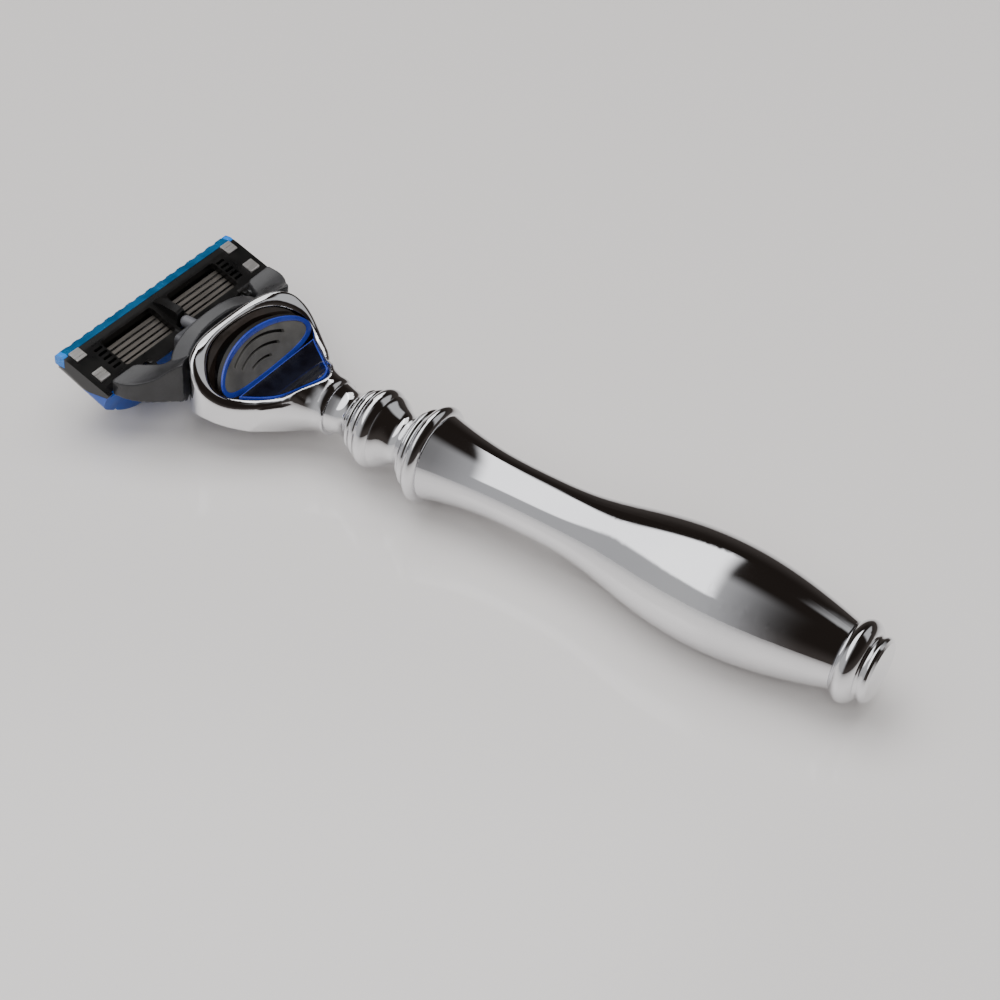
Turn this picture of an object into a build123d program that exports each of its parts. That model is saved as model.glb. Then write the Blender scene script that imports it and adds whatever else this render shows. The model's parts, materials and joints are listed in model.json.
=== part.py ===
from build123d import *
import math
import os

os.makedirs("parts", exist_ok=True)

# ---------------------------------------------------------------- driving dimensions (mm)
# X runs along the handle (cartridge at -X, butt at +X), Y across the cartridge, Z up.
# The razor lies on a table at Z = 0 on the belly of its grip and on the guard of its cartridge.
seam_x = -7.95            # seam between flange collar and grip
axis_z = 8.75             # height of the handle axis, equal to the radius of the grip belly

grip_length = 69.5
grip_seam_radius = 6.95
grip_butt_radius = 5.30
grip_bore_radius = 2.15
spigot_radius = 3.20
spigot_length = 6.0

butt_end = 75.0           # flat end of the butt disc, measured from the seam
butt_bead_radius = 6.45
butt_disc_radius = 5.10

flange_bead_radius = 7.90
neck_bead_radius = 6.50
neck_waist_radius = 3.75
tie_rod_radius = 2.0

collar_front = -4.6       # joint between neck and flange collar
neck_front = -19.2        # joint between head bezel and neck
button_travel = 1.4

pin_s = -47.3             # pivot pins of the cartridge: distance from the seam and height
pin_z = 10.4
pin_radius = 0.85

cart_half_width = 20.75
cart_tilt = 19.0          # slope of the cartridge back towards the handle, degrees
blade_count = 5
blade_pitch = 1.05

running_gap = 0.12        # clearance round the docking nose
button_gap = 0.25         # clearance round the thumb button
pad_gap = 0.05            # clearance between the pad and its rim
pin_gap = 0.06            # radial clearance of the pivot pins in their lugs
spigot_gap = 0.03         # radial clearance of the spigots in their sockets
socket_extra = 0.3        # depth of a socket beyond the end of its spigot
rod_bore = 2.02           # bore of the pieces that are threaded on the tie rod


def at(s):
    """World X of a distance measured from the grip seam."""
    return seam_x + s


handle_axis = Axis((0, 0, axis_z), (1, 0, 0))


# ---------------------------------------------------------------- grip
# Turned bottle-shaped grip: flares to the flange, waist, belly, and tapers to the butt cap.
with BuildPart() as grip:
    with BuildSketch(Plane.XZ):
        with BuildLine():
            Spline(
                (at(0), axis_z + grip_seam_radius),
                (at(4.0), axis_z + 6.08),
                (at(9.0), axis_z + 5.36),
                (at(17.5), axis_z + 5.04),
                (at(26.5), axis_z + 5.47),
                (at(35.5), axis_z + 7.25),
                (at(44.0), axis_z + 8.55),
                (at(48.8), axis_z + axis_z),
                (at(53.5), axis_z + 8.56),
                (at(62.0), axis_z + 7.23),
                (at(grip_length), axis_z + grip_butt_radius),
            )
            Line((at(grip_length), axis_z + grip_butt_radius), (at(grip_length), axis_z + grip_bore_radius))
            Line((at(grip_length), axis_z + grip_bore_radius), (at(0), axis_z + grip_bore_radius))
            Line((at(0), axis_z + grip_bore_radius), (at(0), axis_z + grip_seam_radius))
        make_face()
    revolve(axis=handle_axis)
    # sockets for the collar spigot and for the butt cap spigot
    with BuildSketch(Plane.YZ.offset(at(0))):
        with Locations((0, axis_z)):
            Circle(spigot_radius)
    extrude(amount=spigot_length + socket_extra, mode=Mode.SUBTRACT)
    with BuildSketch(Plane.YZ.offset(at(grip_length))):
        with Locations((0, axis_z)):
            Circle(spigot_radius)
    extrude(amount=-spigot_length - socket_extra, mode=Mode.SUBTRACT)
    # narrow seam groove just behind the collar
    with BuildSketch(Plane.XZ):
        with Locations((at(0.0), axis_z + grip_seam_radius)):
            Circle(0.14)
    revolve(axis=handle_axis, mode=Mode.SUBTRACT)
grip.part.label = "grip"
export_step(grip.part, "parts/grip.step")

# ---------------------------------------------------------------- butt cap
# Bead, hollow waist and flat end disc turned in one piece, with a spigot screwed into the grip.
spigot_end = grip_length - spigot_length
spigot_fit = spigot_radius - spigot_gap
with BuildPart() as butt_cap:
    with BuildSketch(Plane.XZ):
        with BuildLine():
            Line((at(spigot_end), axis_z), (at(spigot_end), axis_z + spigot_fit))
            Line((at(spigot_end), axis_z + spigot_fit), (at(grip_length), axis_z + spigot_fit))
            Line((at(grip_length), axis_z + spigot_fit), (at(grip_length), axis_z + 5.15))
            Line((at(grip_length), axis_z + 5.15), (at(69.85), axis_z + 5.45))
            Spline(
                (at(69.85), axis_z + 5.45),
                (at(70.5), axis_z + 6.15),
                (at(71.45), axis_z + butt_bead_radius),
                (at(72.4), axis_z + 6.05),
                (at(73.15), axis_z + 5.05),
            )
            Spline(
                (at(73.15), axis_z + 5.05),
                (at(73.55), axis_z + 4.85),
                (at(73.95), axis_z + 5.02),
                (at(74.3), axis_z + butt_disc_radius),
            )
            Line((at(74.3), axis_z + butt_disc_radius), (at(74.7), axis_z + butt_disc_radius - 0.12))
            Line((at(74.7), axis_z + butt_disc_radius - 0.12), (at(butt_end), axis_z + 4.55))
            Line((at(butt_end), axis_z + 4.55), (at(butt_end), axis_z))
            Line((at(butt_end), axis_z), (at(spigot_end), axis_z))
        make_face()
    revolve(axis=handle_axis)
butt_cap.part.label = "butt_cap"
export_step(butt_cap.part, "parts/butt_cap.step")

# ---------------------------------------------------------------- flange collar
# Ring stack between neck and grip, with a spigot into the grip and a bore for the tie rod.
with BuildPart() as flange_collar:
    with BuildSketch(Plane.XZ):
        with BuildLine():
            Line((at(collar_front), axis_z + rod_bore), (at(collar_front), axis_z + 5.35))
            Spline(
                (at(collar_front), axis_z + 5.35),
                (at(-4.35), axis_z + 5.75),
                (at(-4.05), axis_z + 5.55),
            )
            Line((at(-4.05), axis_z + 5.55), (at(-3.95), axis_z + 5.85))
            Spline(
                (at(-3.95), axis_z + 5.85),
                (at(-3.45), axis_z + 6.55),
                (at(-2.95), axis_z + 6.45),
            )
            Spline(
                (at(-2.95), axis_z + 6.45),
                (at(-2.3), axis_z + 7.25),
                (at(-1.25), axis_z + flange_bead_radius),
                (at(-0.55), axis_z + 7.62),
                (at(-0.1), axis_z + 7.05),
            )
            Line((at(-0.1), axis_z + 7.05), (at(0), axis_z + 6.75))
            Line((at(0), axis_z + 6.75), (at(0), axis_z + spigot_fit))
            Line((at(0), axis_z + spigot_fit), (at(spigot_length), axis_z + spigot_fit))
            Line((at(spigot_length), axis_z + spigot_fit), (at(spigot_length), axis_z + rod_bore))
            Line((at(spigot_length), axis_z + rod_bore), (at(collar_front), axis_z + rod_bore))
        make_face()
    revolve(axis=handle_axis)
flange_collar.part.label = "flange_collar"
export_step(flange_collar.part, "parts/flange_collar.step")

# ---------------------------------------------------------------- neck
# Two hollow waists with a raised ring stack between them, bored for the tie rod.
with BuildPart() as neck:
    with BuildSketch(Plane.XZ):
        with BuildLine():
            Line((at(neck_front), axis_z + rod_bore), (at(neck_front), axis_z + 4.15))
            Spline(
                (at(neck_front), axis_z + 4.15),
                (at(-18.1), axis_z + 3.86),
                (at(-16.9), axis_z + neck_waist_radius),
                (at(-15.7), axis_z + 4.1),
                (at(-14.75), axis_z + 4.85),
            )
            Spline(
                (at(-14.75), axis_z + 4.85),
                (at(-14.45), axis_z + 5.1),
                (at(-14.15), axis_z + 4.98),
            )
            Spline(
                (at(-14.15), axis_z + 4.98),
                (at(-13.65), axis_z + 5.5),
                (at(-13.15), axis_z + 5.66),
                (at(-12.75), axis_z + 5.55),
            )
            Spline(
                (at(-12.75), axis_z + 5.55),
                (at(-12.2), axis_z + 6.25),
                (at(-11.4), axis_z + neck_bead_radius),
                (at(-10.6), axis_z + 6.3),
                (at(-10.0), axis_z + 5.85),
            )
            Line((at(-10.0), axis_z + 5.85), (at(-9.85), axis_z + 5.95))
            Spline(
                (at(-9.85), axis_z + 5.95),
                (at(-9.0), axis_z + 5.55),
                (at(-8.0), axis_z + 4.75),
                (at(-6.8), axis_z + 4.2),
                (at(-5.6), axis_z + 4.45),
                (at(-4.7), axis_z + 5.1),
            )
            Line((at(-4.7), axis_z + 5.1), (at(collar_front), axis_z + 5.1))
            Line((at(collar_front), axis_z + 5.1), (at(collar_front), axis_z + rod_bore))
            Line((at(collar_front), axis_z + rod_bore), (at(neck_front), axis_z + rod_bore))
        make_face()
    revolve(axis=handle_axis)
neck.part.label = "neck"
export_step(neck.part, "parts/neck.step")

# ---------------------------------------------------------------- tie rod
# Steel stud with rolled grooves at both ends that pulls head, neck, collar and grip together.
tie_front = -22.2
tie_back = 16.0
groove_count = 9
groove_pitch = 0.6
groove_radius = 0.16
groove_margin = 0.8
with BuildPart() as tie_rod:
    with BuildSketch(Plane.YZ.offset(at(tie_front))):
        with Locations((0, axis_z)):
            Circle(tie_rod_radius)
    extrude(amount=tie_back - tie_front)
    with BuildSketch(Plane.XZ):
        for k in range(groove_count):
            inset = groove_margin + groove_pitch * k
            with Locations((at(tie_front + inset), axis_z + tie_rod_radius)):
                Circle(groove_radius)
            with Locations((at(tie_back - inset), axis_z + tie_rod_radius)):
                Circle(groove_radius)
    revolve(axis=handle_axis, mode=Mode.SUBTRACT)
tie_rod.part.label = "tie_rod"
export_step(tie_rod.part, "parts/tie_rod.step")

# ---------------------------------------------------------------- head bezel
# Polished spoon-shaped shell: open bowl on top for the thumb button, window at the front.
# Outlines are half outlines: distance from the seam, half width (plan) or height (side).
head_plan = (
    (-42.75, 0), (-42.35, 5.4), (-41.4, 8.6), (-39.8, 11.4), (-38.0, 13.1), (-35.6, 13.7),
    (-33.4, 13.0), (-31.0, 11.5), (-28.5, 9.6), (-26.0, 7.6), (-23.6, 5.8), (-21.4, 4.95), (-19.2, 4.75),
)
bowl_outline = (
    (-40.05, 0), (-39.6, 5.0), (-38.2, 8.5), (-36.6, 10.5), (-34.9, 11.5), (-33.3, 11.0),
    (-31.7, 9.6), (-29.6, 8.0), (-27.1, 6.1), (-24.9, 4.0), (-23.2, 2.2), (-22.3, 0),
)
rim_profile = (
    (-43.4, 14.9), (-41.6, 16.0), (-40.0, 16.2), (-38.0, 15.2), (-36.0, 13.5), (-33.8, 11.85),
    (-31.5, 10.9), (-28.6, 10.8), (-26.4, 11.25), (-24.0, 12.7), (-21.6, 13.7), (-19.0, 14.0),
)
tail_round = (
    (-19.2, 4.72), (-21.0, 4.80), (-23.0, 5.45), (-25.5, 7.1), (-28.5, 9.9), (-33.0, 15.0), (-43.6, 24.0),
)
floor_z = 6.2
tail_floor_z = 10.0
lower_cavity_end = -26.2


def mirrored(points):
    """World outline through half-outline points and their mirror images across the XZ plane."""
    upper = [(at(s), w) for s, w in points]
    lower = [(at(s), -w) for s, w in reversed(points)]
    return upper, lower


# space of the bowl: deep under the button, shallow under the tail cover
bowl_upper, bowl_lower = mirrored(bowl_outline)
with BuildPart() as bowl_space:
    with BuildSketch(Plane.XY.offset(floor_z)):
        with BuildLine():
            Spline(bowl_lower + bowl_upper[1:])
        make_face()
    extrude(amount=16)
    with BuildSketch(Plane.XY.offset(floor_z - 1)):
        with Locations((at(lower_cavity_end) + 10, 0)):
            Rectangle(20, 40)
    extrude(amount=tail_floor_z - floor_z + 1, mode=Mode.SUBTRACT)

plan_upper, plan_lower = mirrored(head_plan)
with BuildPart() as head_bezel:
    with BuildSketch(Plane.XY.offset(3.9)):
        with BuildLine():
            Spline(plan_lower + plan_upper[1:])
            Line(plan_upper[-1], plan_lower[0])
        make_face()
    extrude(amount=14)
    # rim line and rounded chin seen from the side
    with BuildSketch(Plane.XZ):
        with BuildLine():
            Spline([(at(s), z) for s, z in rim_profile])
            Line((at(-19.0), 14.0), (at(-19.0), 3.0))
            Line((at(-19.0), 3.0), (at(-37.0), 3.9))
            Spline((at(-37.0), 3.9), (at(-40.2), 5.0), (at(-42.4), 6.9), (at(-43.4), 9.0))
            Line((at(-43.4), 9.0), (at(-43.4), 14.9))
        make_face()
    extrude(amount=16, both=True, mode=Mode.INTERSECT)
    # belly of the spoon seen along the handle
    with BuildSketch(Plane.YZ.offset(at(-44.0))):
        with Locations((0, axis_z)):
            Ellipse(14.2, 4.72)
        with Locations((0, axis_z + 5)):
            Rectangle(28.4, 10)
    extrude(amount=26, mode=Mode.INTERSECT)
    # the tail runs out into the round neck
    with BuildSketch(Plane.XZ):
        with BuildLine():
            Spline([(at(s), axis_z + r) for s, r in tail_round])
            Line((at(-43.6), axis_z + 24.0), (at(-43.6), axis_z))
            Line((at(-43.6), axis_z), (at(neck_front), axis_z))
            Line((at(neck_front), axis_z), (at(neck_front), axis_z + 4.72))
        make_face()
    revolve(axis=handle_axis, mode=Mode.INTERSECT)
    add(bowl_space.part, mode=Mode.SUBTRACT)
    # front window for the docking nose and the ejector
    with BuildSketch(Plane.YZ.offset(at(-44.0))):
        with Locations((0, 9.9)):
            RectangleRounded(13.2, 6.9, 1.0)
    extrude(amount=6.0, mode=Mode.SUBTRACT)
    # threaded bore for the tie rod
    with BuildSketch(Plane.YZ.offset(at(-22.25))):
        with Locations((0, axis_z)):
            Circle(rod_bore)
    extrude(amount=4, mode=Mode.SUBTRACT)
head_bezel.part.label = "head_bezel"
export_step(head_bezel.part, "parts/head_bezel.step")

# ---------------------------------------------------------------- thumb button shapes
# The button is an oval bar along X cut by a concave face that leans back towards the handle.
button_mid = (at(-35.0), 0, 11.95)
button_half_width = 11.0
button_half_height = 3.75
rim_width = 0.85          # width of the rim at the two ends of the oval
rim_height = 0.72         # width of the rim at the top and bottom of the oval
rim_depth = 0.3
face_lean = 67.0
face_radius = 38.0
button_thickness = 1.0
pad_recess = 0.08         # top of the pad below the edge of the rim
blank_front = -42.0       # block that the button pieces are cut from
blank_length = 12.0
cutter_length = 30.0      # length of the cylinder that hollows the face
face_normal = Vector(math.sin(math.radians(face_lean)), 0, math.cos(math.radians(face_lean)))
face_down = Vector(math.cos(math.radians(face_lean)), 0, -math.sin(math.radians(face_lean)))
face_plane = Plane(origin=button_mid, x_dir=(0, 1, 0), z_dir=face_normal)


def face_cut_plane(shift):
    """Sketch plane of the big cylinder that hollows the face, moved by shift along X."""
    start = Vector(*button_mid) + face_normal * face_radius - face_down * 15 + Vector(shift, 0, 0)
    return Plane(origin=start, x_dir=(0, 1, 0), z_dir=face_down)


with BuildPart() as button_clearance:
    with BuildSketch(Plane.YZ.offset(at(-39.6))):
        with Locations((0, button_mid[2])):
            Ellipse(button_half_width + button_gap, button_half_height + button_gap)
    extrude(amount=9.6)
    with BuildSketch(face_cut_plane(-button_thickness - button_travel - 0.3)):
        Circle(face_radius)
    extrude(amount=cutter_length, mode=Mode.INTERSECT)
    with BuildSketch(face_cut_plane(button_gap)):
        Circle(face_radius)
    extrude(amount=cutter_length, mode=Mode.SUBTRACT)

# seat of the soft pad inside the rim
with BuildPart() as pad_seat:
    with BuildSketch(Plane.YZ.offset(at(blank_front))):
        with Locations((0, button_mid[2])):
            Ellipse(button_half_width - rim_width, button_half_height - rim_height)
    extrude(amount=blank_length)
    with BuildSketch(face_cut_plane(-0.78)):
        Circle(face_radius)
    extrude(amount=cutter_length, mode=Mode.INTERSECT)

with BuildPart() as button_carrier:
    with BuildSketch(Plane.YZ.offset(at(blank_front))):
        with Locations((0, button_mid[2])):
            Ellipse(button_half_width, button_half_height)
    extrude(amount=blank_length)
    with BuildSketch(face_cut_plane(-button_thickness)):
        Circle(face_radius)
    extrude(amount=cutter_length, mode=Mode.INTERSECT)
    with BuildSketch(face_cut_plane(-rim_depth)):
        Circle(face_radius)
    extrude(amount=cutter_length, mode=Mode.SUBTRACT)
    add(pad_seat.part, mode=Mode.SUBTRACT)

# foot that carries the button on the ejector
with BuildPart() as button_foot:
    with BuildSketch(Plane.XY.offset(7.0)):
        with Locations((at(-35.6), 0)):
            Rectangle(2.0, 5.0)
    extrude(amount=1.9)
button_carrier.part = button_carrier.part + button_foot.part
button_carrier.part.label = "button_carrier"
export_step(button_carrier.part, "parts/button_carrier.step")

# coloured rim that frames the pad
with BuildPart() as button_rim:
    with BuildSketch(Plane.YZ.offset(at(blank_front))):
        with Locations((0, button_mid[2])):
            Ellipse(button_half_width, button_half_height)
            Ellipse(button_half_width - rim_width, button_half_height - rim_height, mode=Mode.SUBTRACT)
    extrude(amount=blank_length)
    with BuildSketch(face_cut_plane(-rim_depth)):
        Circle(face_radius)
    extrude(amount=cutter_length, mode=Mode.INTERSECT)
    with BuildSketch(face_cut_plane(0)):
        Circle(face_radius)
    extrude(amount=cutter_length, mode=Mode.SUBTRACT)
button_rim.part.label = "button_rim"
export_step(button_rim.part, "parts/button_rim.step")

# ---------------------------------------------------------------- soft pad of the button
# Three curved grip slots that show the carrier below.
# Each one is given by the height of its crown on the face, its arc radius and its half chord.
pad_grooves = ((2.5, 12.0, 6.2), (0.75, 10.5, 4.7), (-1.1, 8.0, 2.4))
groove_half_width = 0.25
with BuildPart() as button_pad:
    with BuildSketch(Plane.YZ.offset(at(blank_front))):
        with Locations((0, button_mid[2])):
            Ellipse(button_half_width - rim_width - pad_gap, button_half_height - rim_height - pad_gap)
    extrude(amount=blank_length)
    with BuildSketch(face_cut_plane(-0.76)):
        Circle(face_radius)
    extrude(amount=cutter_length, mode=Mode.INTERSECT)
    with BuildSketch(face_cut_plane(-pad_recess)):
        Circle(face_radius)
    extrude(amount=cutter_length, mode=Mode.SUBTRACT)
with BuildPart() as groove_tool:
    for crown, radius, half_chord in pad_grooves:
        with BuildSketch(face_plane):
            with Locations((0, crown - radius)):
                Circle(radius + groove_half_width)
            with Locations((0, crown - radius)):
                Circle(radius - groove_half_width, mode=Mode.SUBTRACT)
            with Locations((0, crown)):
                Rectangle(2 * half_chord, 6.0, mode=Mode.INTERSECT)
        extrude(amount=5, both=True)
    with BuildSketch(face_cut_plane(-0.9)):
        Circle(face_radius)
    extrude(amount=cutter_length, mode=Mode.INTERSECT)
button_pad.part = button_pad.part - groove_tool.part
button_pad.part.label = "button_pad"
export_step(button_pad.part, "parts/button_pad.step")

# ---------------------------------------------------------------- ejector fork
# Two fingers under the docking nose joined by a bridge that straddles the button foot.
ejector_front = -41.4
with BuildPart() as ejector:
    with BuildSketch(Plane.XY.offset(6.95)):
        for side in (-1, 1):
            with Locations((at((ejector_front - 34.0) / 2), side * 3.65)):
                Rectangle(-34.0 - ejector_front, 1.7)
        with Locations((at(-34.3), 0)):
            Rectangle(0.55, 9.0)
    extrude(amount=0.85)
ejector.part.label = "ejector"
export_step(ejector.part, "parts/ejector.step")

# ---------------------------------------------------------------- insert body
# Moulded chassis in the bowl: floor with the ejector channel, lining and shelf under the tail cover.
with BuildPart() as insert_body:
    with BuildSketch(Plane.XY.offset(floor_z)):
        with BuildLine():
            Spline(bowl_lower + bowl_upper[1:])
        make_face()
        with Locations((at(lower_cavity_end) + 9.95, 0)):
            Rectangle(20, 40, mode=Mode.SUBTRACT)
    extrude(amount=3.6)
    with BuildSketch(Plane.XY.offset(8.2)):
        with Locations((at(-36.5), 0)):
            Rectangle(9.6, 30)
    extrude(amount=4, mode=Mode.SUBTRACT)
    # channel for the ejector fork, the foot and the return spring
    with BuildSketch(Plane.XY.offset(6.8)):
        with Locations((at(-38.0), 0)):
            Rectangle(9.2, 9.3)
    extrude(amount=4, mode=Mode.SUBTRACT)
    # post that the return spring pushes against
    with BuildSketch(Plane.XY.offset(6.5)):
        with Locations((at(-39.7), 0)):
            Rectangle(0.6, 3.0)
    extrude(amount=1.6)
    add(button_clearance.part, mode=Mode.SUBTRACT)
insert_body.part.label = "insert_body"
export_step(insert_body.part, "parts/insert_body.step")

# ---------------------------------------------------------------- lining of the bowl
# Dark ring round the front of the bowl, just below the chrome lip.
ring_upper, ring_lower = mirrored([(-33.0 + (s + 33.0) * 0.86, w * 0.92) for s, w in bowl_outline])
with BuildPart() as surround:
    with BuildSketch(Plane.XY.offset(8.25)):
        with BuildLine():
            Spline(bowl_lower + bowl_upper[1:])
        make_face()
        with BuildLine():
            Spline(ring_lower + ring_upper[1:])
        make_face(mode=Mode.SUBTRACT)
        with Locations((at(-24.0), 0)):
            Rectangle(18.0, 40, mode=Mode.SUBTRACT)
    extrude(amount=9)
    with BuildSketch(Plane.XZ):
        with BuildLine():
            Spline([(at(s), z - 0.75) for s, z in rim_profile[:8]])
            Line((at(-28.6), 10.05), (at(-28.6), 3.0))
            Line((at(-28.6), 3.0), (at(-43.4), 3.0))
            Line((at(-43.4), 3.0), (at(-43.4), 14.15))
        make_face()
    extrude(amount=16, both=True, mode=Mode.INTERSECT)
    with BuildSketch(Plane.YZ.offset(at(-44.0))):
        with Locations((0, 9.9)):
            Rectangle(14.6, 7.6)
    extrude(amount=6.0, mode=Mode.SUBTRACT)
    add(button_clearance.part, mode=Mode.SUBTRACT)
surround.part.label = "surround"
export_step(surround.part, "parts/surround.step")

# ---------------------------------------------------------------- tail cover
# Crowned plate behind the button, flush with the rim where the bowl runs into the neck:
# a thin coloured frame with a glossy dark panel set into it.
def tail_plate(top_shift):
    """Plate over the tail of the bowl, with its crowned top moved up by top_shift."""
    with BuildPart() as plate:
        with BuildSketch(Plane.XY.offset(9.85)):
            with BuildLine():
                Spline(bowl_lower + bowl_upper[1:])
            make_face()
            with Locations((at(-41.6), 0)):
                Rectangle(19.8, 40, mode=Mode.SUBTRACT)
        extrude(amount=8)
        with BuildSketch(Plane.XZ):
            with BuildLine():
                Spline([(at(s), z + top_shift) for s, z in rim_profile[6:]])
                Line((at(-19.0), 14.0 + top_shift), (at(-19.0), 10.05))
                Line((at(-19.0), 10.05), (at(-26.3), 10.05))
                Line((at(-26.3), 10.05), (at(-26.3), 9.85))
                Line((at(-26.3), 9.85), (at(-31.5), 9.85))
                Line((at(-31.5), 9.85), (at(-31.5), 10.9 + top_shift))
            make_face()
        extrude(amount=16, both=True, mode=Mode.INTERSECT)
        add(button_clearance.part, mode=Mode.SUBTRACT)
    return plate.part


# panel outline: the bowl outline drawn in towards the middle of the tail
panel_middle = -27.6
panel_upper, panel_lower = mirrored(
    [(panel_middle + (s - panel_middle) * 0.93, w * 0.95) for s, w in bowl_outline]
)
panel_blank = tail_plate(0.12)
frame_blank = tail_plate(0.0)
with BuildPart() as tail_cover:
    with BuildSketch(Plane.XY.offset(10.35)):
        with BuildLine():
            Spline(panel_lower + panel_upper[1:])
        make_face()
        with Locations((at(-41.2), 0)):
            Rectangle(19.8, 40, mode=Mode.SUBTRACT)
    extrude(amount=8)
    add(panel_blank, mode=Mode.INTERSECT)
with BuildPart() as cover_frame:
    add(frame_blank)
    add(tail_cover.part, mode=Mode.SUBTRACT)
tail_cover.part.label = "tail_cover"
export_step(tail_cover.part, "parts/tail_cover.step")
cover_frame.part.label = "cover_frame"
export_step(cover_frame.part, "parts/cover_frame.step")

# ---------------------------------------------------------------- docking nose
# Hollow spigot that the cartridge yoke pushes onto and that guides the plunger.
nose_front = -47.4
plunger_z = 11.3
plunger_radius = 1.0
with BuildPart() as docking_nose:
    with BuildSketch(Plane.YZ.offset(at(nose_front))):
        with Locations((0, 10.625)):
            RectangleRounded(12.0, 4.85, 0.9)
    extrude(amount=-39.68 - nose_front)
    # bore for the plunger spring and the plunger
    with BuildSketch(Plane.YZ.offset(at(nose_front - 0.1))):
        with Locations((0, plunger_z)):
            Circle(plunger_radius + 0.09)
    extrude(amount=7.4, mode=Mode.SUBTRACT)
docking_nose.part.label = "docking_nose"
export_step(docking_nose.part, "parts/docking_nose.step")

# ---------------------------------------------------------------- plunger
plunger_tip = -50.95
with BuildPart() as plunger:
    with BuildSketch(Plane.XZ):
        with BuildLine():
            Line((at(-44.9), plunger_z), (at(-44.9), plunger_z + plunger_radius))
            Line((at(-44.9), plunger_z + plunger_radius), (at(plunger_tip + 0.9), plunger_z + plunger_radius))
            Spline(
                (at(plunger_tip + 0.9), plunger_z + plunger_radius),
                (at(plunger_tip + 0.25), plunger_z + 0.62),
                (at(plunger_tip), plunger_z),
            )
            Line((at(plunger_tip), plunger_z), (at(-44.9), plunger_z))
        make_face()
    revolve(axis=Axis((0, 0, plunger_z), (1, 0, 0)))
plunger.part.label = "plunger"
export_step(plunger.part, "parts/plunger.step")


def coil_spring(start_s, end_s, centre_z, coil_radius, wire_radius, turns):
    """Coil along X between two distances from the seam."""
    length = end_s - start_s
    with BuildPart() as coil:
        with BuildLine():
            path = Helix(
                pitch=length / turns,
                height=length,
                radius=coil_radius,
                center=(at(start_s), 0, centre_z),
                direction=(1, 0, 0),
            )
        with BuildSketch(Plane(origin=path @ 0, z_dir=path % 0)):
            Circle(wire_radius)
        sweep(is_frenet=True)
    return coil.part


plunger_coil = coil_spring(-44.65, -40.35, plunger_z, 0.75, 0.15, 5)
with BuildPart() as plunger_spring:
    add(plunger_coil)
plunger_spring.part.label = "plunger_spring"
export_step(plunger_spring.part, "parts/plunger_spring.step")

button_coil = coil_spring(-39.2, -36.85, 7.95, 0.75, 0.13, 4)
with BuildPart() as button_spring:
    add(button_coil)
button_spring.part.label = "button_spring"
export_step(button_spring.part, "parts/button_spring.step")

# ---------------------------------------------------------------- yoke
# C-shaped hub round the front of the bezel with two arms that reach the ends of the cartridge.
yoke_half = (
    (-43.15, 0), (-42.8, 5.6), (-41.9, 8.8), (-40.4, 11.7), (-39.5, 13.1), (-39.9, 13.7), (-41.6, 15.4),
    (-43.6, 17.5), (-45.4, 18.75), (-47.2, 19.3), (-48.5, 19.4), (-48.7, 18.9), (-48.6, 14.4),
    (-48.2, 13.75), (-46.6, 12.75), (-44.9, 11.7), (-44.5, 10.2), (-45.15, 8.2), (-45.5, 4.5), (-45.6, 0),
)
with BuildPart() as yoke:
    with BuildSketch(Plane.XY.offset(7.4)):
        with BuildLine():
            Spline([(at(s), w) for s, w in yoke_half[:5]])
            Line((at(-39.5), 13.1), (at(-39.9), 13.7))
            Spline([(at(s), w) for s, w in yoke_half[5:11]])
            Line((at(-48.5), 19.4), (at(-48.7), 18.9))
            Line((at(-48.7), 18.9), (at(-48.6), 14.4))
            Line((at(-48.6), 14.4), (at(-48.2), 13.75))
            Line((at(-48.2), 13.75), (at(-44.9), 11.7))
            Spline([(at(s), w) for s, w in yoke_half[15:]])
            Line((at(-45.6), 0), (at(-43.15), 0))
        make_face()
        mirror(about=Plane.XZ)
    extrude(amount=8.2)
    # side profile: tall hub, arms that slope down to the pivots
    with BuildSketch(Plane.XZ):
        with BuildLine():
            Spline(
                (at(-39.0), 15.5),
                (at(-40.6), 15.0),
                (at(-42.0), 13.6),
                (at(-43.8), 12.7),
                (at(-46.2), 12.15),
                (at(-49.2), 12.0),
            )
            Line((at(-49.2), 12.0), (at(-49.2), 9.3))
            Line((at(-49.2), 9.3), (at(-46.0), 9.2))
            Line((at(-46.0), 9.2), (at(-42.2), 8.6))
            Line((at(-42.2), 8.6), (at(-39.0), 8.2))
            Line((at(-39.0), 8.2), (at(-39.0), 15.5))
        make_face()
    extrude(amount=20, both=True, mode=Mode.INTERSECT)
with BuildPart() as yoke_hub:
    with BuildSketch(Plane.XY.offset(6.0)):
        with BuildLine():
            Spline([(at(s), w) for s, w in yoke_half[:4]])
            Line((at(-40.4), 11.7), (at(-43.6), 11.2))
            Spline((at(-43.6), 11.2), (at(-44.6), 9.9), (at(-45.3), 7.6), (at(-45.55), 4.2), (at(-45.6), 0))
            Line((at(-45.6), 0), (at(-43.15), 0))
        make_face()
        mirror(about=Plane.XZ)
    extrude(amount=9.6)
    with BuildSketch(Plane.YZ.offset(at(-46.0))):
        with Locations((0, 9.3)):
            Ellipse(12.6, 6.1)
    extrude(amount=8, mode=Mode.INTERSECT)
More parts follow.
